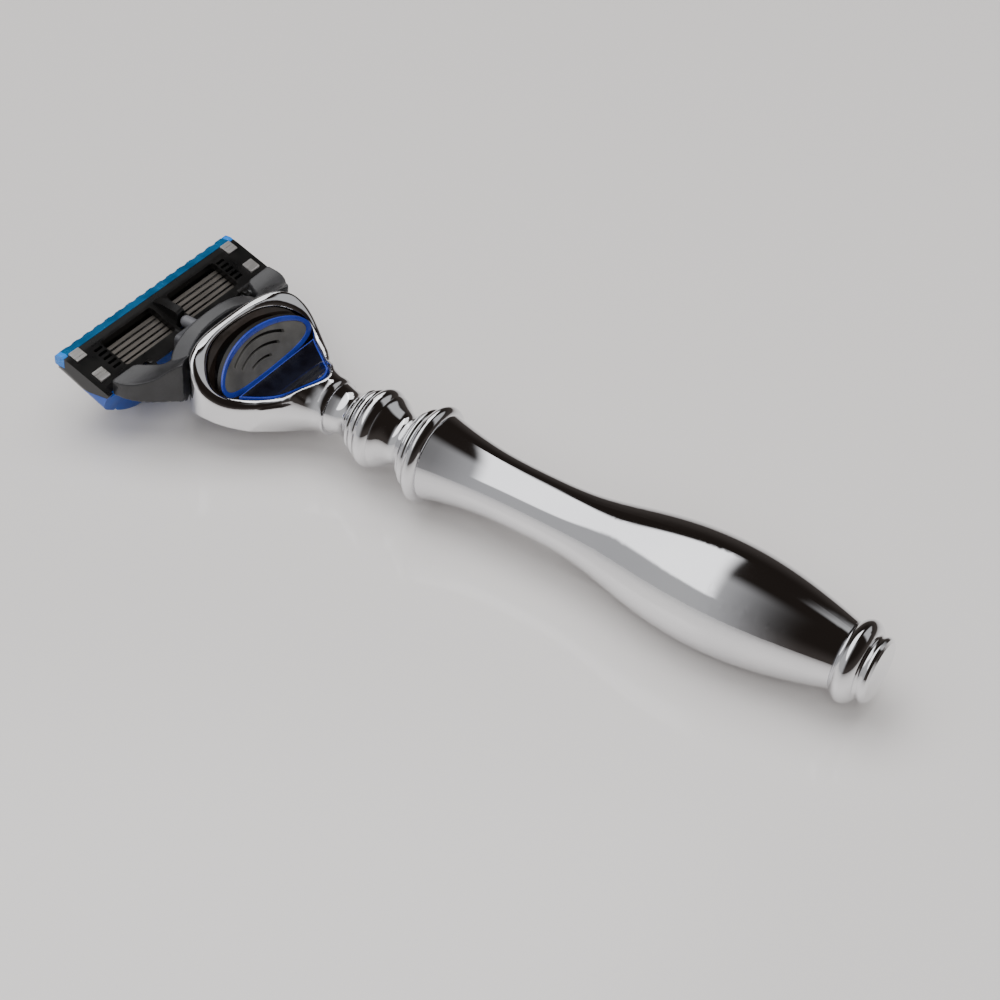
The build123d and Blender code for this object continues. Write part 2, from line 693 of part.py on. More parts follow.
# pivot pins on the inner faces of the arms
with BuildPart() as yoke_pins:
    for side in (-1, 1):
        with BuildSketch(Plane.XZ.offset(-side * 11.2)):
            with Locations((at(pin_s), pin_z)):
                Circle(pin_radius)
        extrude(amount=-side * 3.4)
with BuildPart() as yoke_socket:
    with BuildSketch(Plane.YZ.offset(at(-48.0))):
        with Locations((0, 10.6)):
            RectangleRounded(12.0 + 2 * running_gap, 4.9 + 2 * running_gap, 0.95)
    extrude(amount=8)
    # pocket for the ejector fingers
    with BuildSketch(Plane.YZ.offset(at(-44.6))):
        with Locations((0, 7.3)):
            Rectangle(9.8, 1.9)
    extrude(amount=4)
yoke.part = yoke.part + yoke_hub.part + yoke_pins.part - yoke_socket.part
yoke.part.label = "yoke"
export_step(yoke.part, "parts/yoke.step")

# ---------------------------------------------------------------- cartridge shapes
# Skin plane: starts at the cap edge and runs down towards the guard.
skin_slope = 40.0
skin_start = (-59.0, 9.7)
skin_dir = (math.cos(math.radians(skin_slope)), -math.sin(math.radians(skin_slope)))
skin_in = (math.sin(math.radians(skin_slope)), math.cos(math.radians(skin_slope)))
back_up = (math.sin(math.radians(cart_tilt)), math.cos(math.radians(cart_tilt)))


def skin(distance, depth):
    """World X and Z of a point on the skin plane, at a depth inside it."""
    s = skin_start[0] + skin_dir[0] * distance + skin_in[0] * depth
    z = skin_start[1] + skin_dir[1] * distance + skin_in[1] * depth
    return (at(s), z)


def flat(points):
    """World X and Z of points given as distance from the seam and height."""
    return [(at(s), z) for s, z in points]


# Boat-shaped end outline, seen along the length of the housing: half width against drop.
end_outline = (
    (20.75, 7.0), (20.75, 0.9), (20.4, 0.0), (18.8, -1.77), (16.8, -3.18), (14.8, -4.44),
    (12.9, -5.43), (10.6, -6.41), (8.6, -7.2),
)
end_slope = 22.0
end_dir = Vector(math.cos(math.radians(end_slope)), 0, -math.sin(math.radians(end_slope)))
end_plane = Plane(origin=Vector(at(-58.8), 0, 10.3) - end_dir * 6, x_dir=(0, 1, 0), z_dir=end_dir)
with BuildPart() as end_shape:
    with BuildSketch(end_plane):
        with BuildLine():
            Line(end_outline[0], end_outline[1])
            Spline(end_outline[1:])
            Line(end_outline[-1], (-end_outline[-1][0], end_outline[-1][1]))
            Spline([(-w, h) for w, h in reversed(end_outline[1:])])
            Line((-20.75, 0.9), (-20.75, 7.0))
            Line((-20.75, 7.0), (20.75, 7.0))
        make_face()
    extrude(amount=24)

# Room for the arm tips to swing in: cylinders round the pivot pins.
relief_radius = 2.35
with BuildPart() as arm_relief:
    for side in (-1, 1):
        with BuildSketch(Plane.XZ.offset(-side * 12.4)):
            with Locations((at(pin_s), pin_z)):
                Circle(relief_radius)
        extrude(amount=-side * 7.35)

# ---------------------------------------------------------------- clips
# One bent aluminium band at each end: it runs through the housing and hooks over its back twice.
clip_inner_edge = 17.4
clip_width = 2.2
clip_solids = {}
for side, clip_name in ((-1, "clip_left"), (1, "clip_right")):
    with BuildPart() as clip:
        with BuildSketch(Plane.XZ.offset(-side * clip_inner_edge)):
            with BuildLine():
                Polyline(
                    flat((
                        (-57.28, 9.85), (-57.28, 12.93), (-57.15, 13.2), (-55.25, 12.62), (-55.35, 12.33),
                        (-56.92, 12.85), (-56.92, 10.2), (-50.93, 9.8), (-50.93, 10.86), (-52.55, 11.4),
                        (-52.47, 11.68), (-50.75, 11.14), (-50.57, 10.95), (-50.57, 9.45), (-57.28, 9.85),
                    ))
                )
            make_face()
        extrude(amount=-side * clip_width)
    clip.part.label = clip_name
    clip_solids[side] = clip.part
    export_step(clip.part, "parts/" + clip_name + ".step")

# ---------------------------------------------------------------- comb ends
# Corner blocks that close the trimmer comb at both ends of the housing.
comb_ends = {}
for side, end_name in ((-1, "comb_end_left"), (1, "comb_end_right")):
    with BuildPart() as comb_end:
        with BuildSketch(Plane.XZ.offset(-side * 19.75)):
            with BuildLine():
                Polyline(
                    flat((
                        (-59.1, 10.9), (-59.1, 12.55), (-58.7, 13.0), (-57.5, 13.1), (-57.1, 12.85),
                        (-57.1, 11.0), (-59.1, 10.9),
                    ))
                )
            make_face()
        extrude(amount=-side * 1.0)
        add(end_shape.part, mode=Mode.INTERSECT)
    comb_end.part.label = end_name
    comb_ends[side] = comb_end.part
    export_step(comb_end.part, "parts/" + end_name + ".step")

# ---------------------------------------------------------------- cartridge housing
window_front = -55.9
window_back = -50.4
end_wall = 16.75          # half length of the hollow for the blades
cheek_width = 4.0         # length of the closed ends of the cartridge
with BuildPart() as housing:
    with BuildSketch(Plane.XZ):
        with BuildLine():
            Polyline(
                flat((
                    (-58.5, 10.1), (-58.5, 12.05), (-58.35, 12.3), (-57.3, 12.5), (-57.3, 12.9),
                    (-56.3, 12.65), (-48.1, 9.9), (-48.55, 9.2), (-54.1, 8.4), (-58.5, 10.1),
                ))
            )
        make_face()
    extrude(amount=cart_half_width, both=True)
    # two windows that show the blade supports
    with BuildSketch(Plane.XY.offset(5)):
        for side in (-1, 1):
            with Locations((at((window_front + window_back) / 2), side * 7.85)):
                RectangleRounded(window_back - window_front, 11.9, 0.5)
            # short slots beyond the outer end of each window
            for k in range(blade_count):
                with Locations((at(-55.2 + 0.95 * k), side * 15.0)):
                    Rectangle(0.45, 1.8)
    extrude(amount=12, mode=Mode.SUBTRACT)
    # hollow for the blade supports under the plate
    with BuildSketch(Plane.XZ):
        with BuildLine():
            Polyline(flat(((-56.6, 7.0), (-56.6, 11.58), (-50.45, 9.48), (-50.45, 7.0), (-56.6, 7.0))))
        make_face()
    extrude(amount=end_wall, both=True, mode=Mode.SUBTRACT)
    # central bar with the cam face that the plunger presses on
    with BuildSketch(Plane.XZ):
        with BuildLine():
            Polyline(
                flat((
                    (-56.6, 12.2), (-56.0, 12.85), (-54.5, 13.1), (-51.6, 12.95), (-51.1, 12.6),
                    (-51.1, 10.4), (-56.6, 12.2),
                ))
            )
        make_face()
    extrude(amount=0.85, both=True)
    # groove that the plunger sinks into as the cartridge tilts
    with BuildSketch(Plane.XZ):
        with Locations((at(-49.1), 10.6)):
            Rectangle(4.0, 2.0)
    extrude(amount=plunger_radius + 0.3, both=True, mode=Mode.SUBTRACT)
    add(end_shape.part, mode=Mode.INTERSECT)
    add(arm_relief.part, mode=Mode.SUBTRACT)
    for side in (-1, 1):
        add(clip_solids[side], mode=Mode.SUBTRACT)
        add(comb_ends[side], mode=Mode.SUBTRACT)
# lugs that turn on the yoke pins
lug_radius = 1.35
lug_width = 0.85
with BuildPart() as lugs:
    for side in (-1, 1):
        with BuildSketch(Plane.XZ.offset(-side * 11.3)):
            with Locations((at(pin_s), pin_z)):
                Circle(lug_radius)
            with BuildLine():
                Polyline(flat(((-50.0, 9.3), (-48.2, 11.2), (-46.9, 9.15), (-48.5, 9.22), (-50.0, 9.3))))
            make_face()
        extrude(amount=-side * lug_width)
with BuildPart() as lug_holes:
    for side in (-1, 1):
        with BuildSketch(Plane.XZ.offset(-side * 10.8)):
            with Locations((at(pin_s), pin_z)):
                Circle(pin_radius + pin_gap)
        extrude(amount=-side * 2.0)
housing.part = housing.part + lugs.part - lug_holes.part
housing.part.label = "housing"
export_step(housing.part, "parts/housing.step")

# ---------------------------------------------------------------- cap rail and strip
strip_start = 0.3
strip_end = 2.35
cap_end = 2.6
with BuildPart() as lubricating_strip:
    with BuildSketch(Plane.XZ):
        with BuildLine():
            Polyline(
                skin(strip_start, 0.7), skin(strip_start, -0.1), skin(strip_start + 0.3, -0.3),
                skin(strip_end - 0.3, -0.3), skin(strip_end, -0.1), skin(strip_end, 0.7),
                skin(strip_start, 0.7),
            )
        make_face()
    extrude(amount=16.4, both=True)
lubricating_strip.part.label = "lubricating_strip"
export_step(lubricating_strip.part, "parts/lubricating_strip.step")

with BuildPart() as cap_rail:
    with BuildSketch(Plane.XZ):
        with BuildLine():
            Polyline(
                (at(-58.5), 10.08), (at(-59.0), 10.0), skin(0, 0), skin(cap_end, 0), skin(cap_end, 0.5),
                (at(-56.75), 9.38), (at(-58.5), 10.08),
            )
        make_face()
    extrude(amount=end_wall, both=True)
    for side in (-1, 1):
        with BuildSketch(Plane.XZ.offset(-side * end_wall)):
            with BuildLine():
                Polyline(
                    (at(-58.5), 10.08), (at(-59.0), 10.0), skin(0, 0), skin(6.3, 0), (at(-54.15), 8.38),
                    (at(-58.5), 10.08),
                )
            make_face()
        extrude(amount=-side * cheek_width)
    add(end_shape.part, mode=Mode.INTERSECT)
    add(lubricating_strip.part, mode=Mode.SUBTRACT)
cap_rail.part.label = "cap_rail"
export_step(cap_rail.part, "parts/cap_rail.step")

# ---------------------------------------------------------------- guard
# Soft lip with fins. Its lower edge is what the head of the razor rests on.
guard_rear = (
    (-48.6, 9.15), (-49.3, 7.4), (-50.2, 5.0), (-50.5, 3.2), (-50.9, 1.35), (-51.4, 0.28), (-51.85, 0.0),
)
with BuildPart() as guard:
    with BuildSketch(Plane.XZ):
        with BuildLine():
            Spline(flat(guard_rear))
            Line((at(-51.85), 0.0), (at(-52.25), 0.0))
            Spline(flat(((-52.25, 0.0), (-52.7, 0.5), (-52.85, 2.2))))
            Line((at(-52.85), 2.2), (at(-52.75), 4.15))
            Line((at(-52.75), 4.15), skin(8.75, 0.35))
            Line(skin(8.75, 0.35), (at(-51.0), 7.0))
            Line((at(-51.0), 7.0), (at(-50.55), 8.88))
            Line((at(-50.55), 8.88), (at(-48.6), 9.15))
        make_face()
        # fins left between small grooves on the skin side
        for k in range(6):
            with Locations((at(-52.88), 0.95 + 0.55 * k)):
                Circle(0.17, mode=Mode.SUBTRACT)
    extrude(amount=end_wall, both=True)
    for side in (-1, 1):
        with BuildSketch(Plane.XZ.offset(-side * end_wall)):
            with BuildLine():
                Spline(flat(guard_rear[:3]))
                Line((at(-50.2), 5.0), (at(-50.4), 4.0))
                Line((at(-50.4), 4.0), (at(-53.0), 3.6))
                Line((at(-53.0), 3.6), skin(6.35, 0.0))
                Line(skin(6.35, 0.0), (at(-54.1), 8.38))
                Line((at(-54.1), 8.38), (at(-48.6), 9.15))
            make_face()
        extrude(amount=-side * cheek_width)
    add(end_shape.part, mode=Mode.INTERSECT)
    add(arm_relief.part, mode=Mode.SUBTRACT)
guard.part.label = "guard"
export_step(guard.part, "parts/guard.step")

# ---------------------------------------------------------------- blades and bent supports
blade_half_length = 16.6
blade_first = 3.95        # distance of the first edge from the cap edge, along the skin plane
blade_width = 1.15
blade_thickness = 0.09
blade_angle = 21.5
blade_dir = (
    -math.cos(math.radians(blade_angle)) * skin_dir[0] + math.sin(math.radians(blade_angle)) * skin_in[0],
    -math.cos(math.radians(blade_angle)) * skin_dir[1] + math.sin(math.radians(blade_angle)) * skin_in[1],
)
blade_up = (
    math.sin(math.radians(blade_angle)) * skin_dir[0] + math.cos(math.radians(blade_angle)) * skin_in[0],
    math.sin(math.radians(blade_angle)) * skin_dir[1] + math.cos(math.radians(blade_angle)) * skin_in[1],
)


def blade_point(index, along, up):
    """World X and Z of a point measured from the cutting edge of a blade."""
    edge = skin(blade_first + blade_pitch * index, 0.02)
    x = edge[0] + blade_dir[0] * along + blade_up[0] * up
    z = edge[1] + blade_dir[1] * along + blade_up[1] * up
    return (x, z)


def leg_point(index, side_shift, up):
    """World X and Z of a point on the straight leg of a blade support."""
    foot = blade_point(index, blade_width, blade_thickness + 0.01)
    x = foot[0] + back_up[0] * up + back_up[1] * side_shift
    z = foot[1] + back_up[1] * up - back_up[0] * side_shift
    return (x, z)


def back_height(index):
    """Length of a support leg that stops just below the back of the housing."""
    foot = blade_point(index, blade_width, blade_thickness + 0.01)
    plane_z = 12.65 - (foot[0] - at(-56.3)) * math.tan(math.radians(cart_tilt))
    return (plane_z - foot[1]) * math.cos(math.radians(cart_tilt)) - 1.3


leg_base = blade_thickness + 0.01
for index in range(blade_count):
    with BuildPart() as blade:
        with BuildSketch(Plane.XZ):
            with BuildLine():
                Polyline(
                    blade_point(index, 0.0, 0.0), blade_point(index, 0.25, blade_thickness),
                    blade_point(index, blade_width, blade_thickness), blade_point(index, blade_width, 0.0),
                    blade_point(index, 0.0, 0.0),
                )
            make_face()
        extrude(amount=blade_half_length, both=True)
    blade_name = "blade_" + str(index + 1)
    blade.part.label = blade_name
    export_step(blade.part, "parts/" + blade_name + ".step")

    with BuildPart() as support:
        leg = back_height(index)
        with BuildSketch(Plane.XZ):
            with BuildLine():
                Polyline(
                    blade_point(index, 0.35, leg_base), blade_point(index, blade_width, leg_base),
                    leg_point(index, 0.0, leg), leg_point(index, 0.62, leg),
                    leg_point(index, 0.62, leg - 0.16), leg_point(index, 0.2, leg - 0.16),
                    leg_point(index, 0.2, 0.12), blade_point(index, 0.35, 0.24),
                    blade_point(index, 0.35, leg_base),
                )
            make_face()
        extrude(amount=blade_half_length, both=True)
    support_name = "blade_support_" + str(index + 1)
    support.part.label = support_name
    export_step(support.part, "parts/" + support_name + ".step")

# ---------------------------------------------------------------- trimmer
with BuildPart() as trimmer_blade:
    with BuildSketch(Plane.XZ):
        with Locations((at(-58.62), 11.2)):
            Rectangle(0.2, 1.7)
    extrude(amount=17.5, both=True)
trimmer_blade.part.label = "trimmer_blade"
export_step(trimmer_blade.part, "parts/trimmer_blade.step")

comb_pitch = 2.5
comb_count = 15
comb_half_length = 19.7
scallop_radius = 1.6
with BuildPart() as trimmer_comb:
    with BuildSketch(Plane.XZ):
        with BuildLine():
            Polyline(
                flat((
                    (-59.1, 10.6), (-59.1, 12.5), (-58.95, 12.8), (-57.32, 12.98), (-57.32, 12.52),
                    (-58.37, 12.32), (-58.53, 12.07), (-58.74, 12.07), (-58.74, 10.6), (-59.1, 10.6),
                ))
            )
        make_face()
    extrude(amount=comb_half_length, both=True)
    # scalloped outer edge
    with BuildSketch(Plane.XY.offset(10)):
        for k in range(comb_count):
            with Locations((at(-60.36), (k - (comb_count - 1) / 2) * comb_pitch)):
                Circle(scallop_radius)
    extrude(amount=4, mode=Mode.SUBTRACT)
    add(end_shape.part, mode=Mode.INTERSECT)
trimmer_comb.part.label = "trimmer_comb"
export_step(trimmer_comb.part, "parts/trimmer_comb.step")
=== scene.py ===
import json
import math

import bpy
from mathutils import Matrix, Vector
from mathutils.kdtree import KDTree


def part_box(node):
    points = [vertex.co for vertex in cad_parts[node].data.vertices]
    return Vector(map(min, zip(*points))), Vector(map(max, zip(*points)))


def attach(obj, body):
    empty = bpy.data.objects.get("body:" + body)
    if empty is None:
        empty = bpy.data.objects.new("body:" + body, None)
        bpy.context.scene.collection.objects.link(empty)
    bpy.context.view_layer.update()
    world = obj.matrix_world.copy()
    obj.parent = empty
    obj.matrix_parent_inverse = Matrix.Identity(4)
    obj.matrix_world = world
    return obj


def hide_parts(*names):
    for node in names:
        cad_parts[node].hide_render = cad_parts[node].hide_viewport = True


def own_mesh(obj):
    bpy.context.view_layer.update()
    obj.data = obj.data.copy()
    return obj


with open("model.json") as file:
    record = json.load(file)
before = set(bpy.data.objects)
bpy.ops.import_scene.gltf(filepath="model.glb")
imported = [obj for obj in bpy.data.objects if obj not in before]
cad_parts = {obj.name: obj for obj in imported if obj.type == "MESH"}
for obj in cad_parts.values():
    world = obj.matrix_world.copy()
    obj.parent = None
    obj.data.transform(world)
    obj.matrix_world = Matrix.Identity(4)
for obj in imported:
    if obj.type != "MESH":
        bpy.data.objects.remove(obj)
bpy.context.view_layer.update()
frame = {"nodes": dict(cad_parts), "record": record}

MM = 0.001

# ---------------------------------------------------------------- camera
camera_place = Vector((0.128683, -0.210959, 0.223851))
camera_right = Vector((0.829448, 0.555320, 0.060297))
camera_up = Vector((-0.407257, 0.527327, 0.745700))
camera_back = Vector((0.382306, -0.643076, 0.663548))
camera_lens = 77.93


def make_camera():
    """Camera at the photograph's angle: a 36 mm sensor and a 78 mm lens."""
    data = bpy.data.cameras.new("camera")
    data.lens = camera_lens
    data.sensor_width = 36.0
    data.clip_start = 0.01
    data.clip_end = 20.0
    camera = bpy.data.objects.new("camera", data)
    turn = Matrix((camera_right, camera_up, camera_back)).transposed().to_4x4()
    camera.matrix_world = Matrix.Translation(camera_place) @ turn
    bpy.context.scene.collection.objects.link(camera)
    bpy.context.scene.camera = camera


# ---------------------------------------------------------------- studio
floor_half = 6.0
floor_colour = (0.74, 0.715, 0.70)
room_low = (0.055, 0.047, 0.043)
room_high = (0.018, 0.014, 0.012)
wall_grey = (0.50, 0.50, 0.51)
softbox_white = (2.1, 2.1, 2.13)
panel_grey = (0.55, 0.55, 0.56)
backdrop = (0.56, 0.55, 0.545)
head_place = (-0.045, 0, 0.015)


def make_floor():
    """Large pale glossy table top."""
    mesh = bpy.data.meshes.new("floor")
    corners = [(x * floor_half, y * floor_half, 0) for x, y in ((-1, -1), (1, -1), (1, 1), (-1, 1))]
    mesh.from_pydata(corners, [], [(0, 1, 2, 3)])
    floor = bpy.data.objects.new("floor", mesh)
    bpy.context.scene.collection.objects.link(floor)
    material = bpy.data.materials.new("floor_lacquer")
    material.use_nodes = True
    shader = material.node_tree.nodes["Principled BSDF"]
    shader.inputs["Base Color"].default_value = (*floor_colour, 1)
    shader.inputs["Roughness"].default_value = 0.10
    shader.inputs["Specular IOR Level"].default_value = 0.5
    mesh.materials.append(material)


def make_light(name, place, target, size, power, reflected=False):
    """Softbox that looks at a target: it either lights surfaces or only shows as a reflection."""
    data = bpy.data.lights.new(name, "AREA")
    data.shape = "RECTANGLE"
    data.size = size[0]
    data.size_y = size[1]
    data.energy = power
    light = bpy.data.objects.new(name, data)
    light.location = place
    look = Vector(target) - Vector(place)
    light.rotation_euler = look.to_track_quat("-Z", "Y").to_euler()
    light.visible_glossy = reflected
    light.visible_diffuse = not reflected
    bpy.context.scene.collection.objects.link(light)
    return light


def soft_step(tree, value, start, stop):
    """0 below start, 1 above stop, smooth between; start may be the larger one."""
    ranged = tree.nodes.new("ShaderNodeMapRange")
    ranged.interpolation_type = "SMOOTHSTEP"
    ranged.inputs["From Min"].default_value = min(start, stop)
    ranged.inputs["From Max"].default_value = max(start, stop)
    ranged.inputs["To Min"].default_value = 0.0 if start < stop else 1.0
    ranged.inputs["To Max"].default_value = 1.0 if start < stop else 0.0
    tree.links.new(value, ranged.inputs["Value"])
    return ranged.outputs["Result"]


def multiply(tree, first, second):
    """Product of two values."""
    node = tree.nodes.new("ShaderNodeMath")
    node.operation = "MULTIPLY"
    tree.links.new(first, node.inputs[0])
    tree.links.new(second, node.inputs[1])
    return node.outputs[0]


def blend_colour(tree, factor, first, second):
    """Mixes two colours; each is a colour tuple or another node's output."""
    node = tree.nodes.new("ShaderNodeMix")
    node.data_type = "RGBA"
    tree.links.new(factor, node.inputs["Factor"])
    for colour, socket in ((first, node.inputs["A"]), (second, node.inputs["B"])):
        if isinstance(colour, tuple):
            socket.default_value = (*colour, 1)
        else:
            tree.links.new(colour, socket)
    return node.outputs["Result"]


def make_world():
    """Studio by direction: dark room, softbox at the upper left, grey wall at the front left, dim panel."""
    world = bpy.data.worlds.new("studio")
    world.use_nodes = True
    bpy.context.scene.world = world
    tree = world.node_tree
    background = tree.nodes["Background"]
    coordinates = tree.nodes.new("ShaderNodeTexCoord")
    parts = tree.nodes.new("ShaderNodeSeparateXYZ")
    tree.links.new(coordinates.outputs["Generated"], parts.inputs[0])
    right, back, up = parts.outputs
    room = blend_colour(tree, soft_step(tree, up, 0.05, 0.6), room_low, room_high)
    # grey wall: front left, up to the softbox
    wall = multiply(tree, soft_step(tree, back, 0.1, -0.35), soft_step(tree, right, 0.25, -0.30))
    room = blend_colour(tree, wall, room, wall_grey)
    # softbox: its lower edge is high at the back and lower at the front
    left = soft_step(tree, right, -0.17, -0.27)
    behind_edge = tree.nodes.new("ShaderNodeMath")
    behind_edge.operation = "MULTIPLY_ADD"
    tree.links.new(back, behind_edge.inputs[0])
    behind_edge.inputs[1].default_value = -0.15
    tree.links.new(up, behind_edge.inputs[2])
    panel = multiply(tree, left, soft_step(tree, behind_edge.outputs[0], 0.62, 0.70))
    sky = blend_colour(tree, panel, room, softbox_white)
    # dim panel at the back right
    dim_panel = multiply(tree, soft_step(tree, right, 0.08, 0.25), soft_step(tree, back, 0.35, 0.5))
    dim_panel = multiply(tree, dim_panel, soft_step(tree, up, 0.35, 0.45))
    sky = blend_colour(tree, dim_panel, sky, panel_grey)
    # what the camera itself sees past the floor is plain and pale
    path = tree.nodes.new("ShaderNodeLightPath")
    seen = blend_colour(tree, path.outputs["Is Camera Ray"], sky, backdrop)
    tree.links.new(seen, background.inputs["Color"])
    background.inputs["Strength"].default_value = 1.0


# ---------------------------------------------------------------- materials
lines_per_mm = 3.0
line_depth_mm = 0.002


def new_material(name, colour, roughness, metallic=0.0, coat=0.0):
    """Principled material with its constants on the shader; returns material, node tree, shader."""
    material = bpy.data.materials.new(name)
    material.use_nodes = True
    shader = material.node_tree.nodes["Principled BSDF"]
    shader.inputs["Base Color"].default_value = (*colour, 1)
    shader.inputs["Roughness"].default_value = roughness
    shader.inputs["Metallic"].default_value = metallic
    shader.inputs["Coat Weight"].default_value = coat
    shader.inputs["Coat Roughness"].default_value = 0.08
    shader.inputs["Specular IOR Level"].default_value = 0.5
    return material, material.node_tree, shader


def noise(tree, scale_per_mm, detail=3.0, stretch=(1, 1, 1)):
    """Noise in object space; scale is features per millimetre."""
    coordinates = tree.nodes.new("ShaderNodeTexCoord")
    mapping = tree.nodes.new("ShaderNodeMapping")
    for axis in range(3):
        mapping.inputs["Scale"].default_value[axis] = stretch[axis] * scale_per_mm / MM
    texture = tree.nodes.new("ShaderNodeTexNoise")
    texture.inputs["Scale"].default_value = 1.0
    texture.inputs["Detail"].default_value = detail
    tree.links.new(coordinates.outputs["Object"], mapping.inputs["Vector"])
    tree.links.new(mapping.outputs["Vector"], texture.inputs["Vector"])
    return texture.outputs["Fac"]


def spread(tree, value, low, high, start=0.3, stop=0.7):
    """Maps the middle of a noise value to a range."""
    ranged = tree.nodes.new("ShaderNodeMapRange")
    ranged.inputs["From Min"].default_value = start
    ranged.inputs["From Max"].default_value = stop
    ranged.inputs["To Min"].default_value = low
    ranged.inputs["To Max"].default_value = high
    tree.links.new(value, ranged.inputs["Value"])
    return ranged.outputs["Result"]


def vary_colour(tree, shader, value, first, second):
    """Drives the base colour between two colours."""
    ramp = tree.nodes.new("ShaderNodeValToRGB")
    ramp.color_ramp.elements[0].position = 0.35
    ramp.color_ramp.elements[0].color = (*first, 1)
    ramp.color_ramp.elements[1].position = 0.65
    ramp.color_ramp.elements[1].color = (*second, 1)
    tree.links.new(value, ramp.inputs["Fac"])
    tree.links.new(ramp.outputs["Color"], shader.inputs["Base Color"])


def add_bump(tree, shader, value, height_mm, strength):
    """Bump of a real height."""
    bump = tree.nodes.new("ShaderNodeBump")
    bump.inputs["Strength"].default_value = strength
    bump.inputs["Distance"].default_value = height_mm * MM
    tree.links.new(value, bump.inputs["Height"])
    tree.links.new(bump.outputs["Normal"], shader.inputs["Normal"])


def chrome():
    """Mirror plating with faint wiping marks and long polishing waves."""
    material, tree, shader = new_material("chrome", (0.80, 0.80, 0.815), 0.045, metallic=1.0)
    smears = noise(tree, 0.12, detail=5.0, stretch=(0.4, 1, 1))
    tree.links.new(spread(tree, smears, 0.025, 0.085), shader.inputs["Roughness"])
    vary_colour(tree, shader, smears, (0.78, 0.78, 0.80), (0.84, 0.84, 0.85))
    add_bump(tree, shader, noise(tree, 1.6, detail=2.0, stretch=(0.3, 1, 1)), 0.0006, 0.4)
    return material


def moulded(name, first, second, roughness, grain_mm, grain_per_mm, coat):
    """Moulded plastic or rubber: fine grain, slightly mottled colour, uneven gloss."""
    material, tree, shader = new_material(name, first, roughness[0], coat=coat)
    mottle = noise(tree, 0.35, detail=4.0)
    vary_colour(tree, shader, mottle, first, second)
    tree.links.new(spread(tree, mottle, roughness[0], roughness[1]), shader.inputs["Roughness"])
    add_bump(tree, shader, noise(tree, grain_per_mm, detail=2.0), grain_mm, 0.6)
    return material


def drawn_metal(name, first, second, roughness, stretch, shine):
    """Rolled, ground or drawn metal: fine lines along one direction."""
    material, tree, shader = new_material(name, first, roughness[0], metallic=shine)
    lines = noise(tree, lines_per_mm, detail=3.0, stretch=stretch)
    vary_colour(tree, shader, lines, first, second)
    tree.links.new(spread(tree, lines, roughness[0], roughness[1]), shader.inputs["Roughness"])
    add_bump(tree, shader, lines, line_depth_mm, 0.5)
    return material


# Mouldings: the two colours that they mottle between, range of roughness, height of the grain in mm,
# features of the grain per mm, weight of the clear coat.
moulded_looks = {
    "insert_black": ((0.012, 0.009, 0.007), (0.022, 0.016, 0.013), (0.3, 0.42), 0.012, 5.0, 0.0),
    "cover_gloss": ((0.003, 0.003, 0.006), (0.006, 0.007, 0.014), (0.08, 0.16), 0.002, 2.0, 0.6),
    "carrier_black": ((0.005, 0.0045, 0.004), (0.010, 0.009, 0.008), (0.4, 0.5), 0.01, 5.0, 0.0),
    "comb_end_blue": ((0.005, 0.15, 0.58), (0.009, 0.22, 0.72), (0.2, 0.3), 0.004, 5.0, 0.0),
    "button_blue": ((0.016, 0.035, 0.30), (0.026, 0.055, 0.40), (0.22, 0.34), 0.004, 5.0, 0.0),
    "pad_grey": ((0.105, 0.102, 0.096), (0.15, 0.146, 0.138), (0.5, 0.65), 0.02, 6.0, 0.0),
    "ejector_grey": ((0.14, 0.14, 0.15), (0.18, 0.18, 0.19), (0.4, 0.5), 0.012, 5.0, 0.0),
    "nose_grey": ((0.05, 0.05, 0.055), (0.07, 0.07, 0.075), (0.35, 0.45), 0.012, 5.0, 0.0),
    "plunger_grey": ((0.10, 0.10, 0.11), (0.14, 0.14, 0.15), (0.35, 0.45), 0.012, 5.0, 0.0),
    "yoke_charcoal": ((0.018, 0.018, 0.019), (0.03, 0.03, 0.032), (0.26, 0.36), 0.012, 5.0, 0.0),
    "housing_black": ((0.003, 0.003, 0.003), (0.007, 0.0065, 0.006), (0.26, 0.36), 0.008, 5.0, 0.0),
    "guard_blue": ((0.012, 0.075, 0.42), (0.02, 0.11, 0.52), (0.32, 0.45), 0.012, 5.0, 0.0),
    "comb_teal": ((0.003, 0.060, 0.14), (0.006, 0.10, 0.23), (0.2, 0.3), 0.006, 5.0, 0.0),
    "strip_pale": ((0.50, 0.62, 0.58), (0.62, 0.72, 0.66), (0.45, 0.6), 0.02, 5.0, 0.0),
}
# Metals: two colours, range of roughness, how close the lines lie along each axis, metallic share.
round_wire = (1, 1, 1)
across_rod = (2, 1, 1)
along_blade = (1.0, 0.05, 1.0)
metal_looks = {
    "rod_steel": ((0.5, 0.5, 0.52), (0.62, 0.62, 0.63), (0.25, 0.4), across_rod, 1.0),
    "spring_steel": ((0.55, 0.55, 0.57), (0.65, 0.65, 0.66), (0.2, 0.3), round_wire, 1.0),
    "clip_metal": ((0.70, 0.68, 0.65), (0.84, 0.82, 0.79), (0.26, 0.36), along_blade, 0.85),
    "blade_steel": ((0.11, 0.10, 0.09), (0.16, 0.145, 0.13), (0.36, 0.48), along_blade, 0.5),
}


def build_materials():
    """One material for each look on the razor, by the name of its slot in the record."""
    looks = {"chrome_plate": chrome()}
    for name, values in moulded_looks.items():
        looks[name] = moulded(name, *values)
    for name, values in metal_looks.items():
        looks[name] = drawn_metal(name, *values)
    return looks


weld_distance = 0.000002
sharp_degrees = 35.0


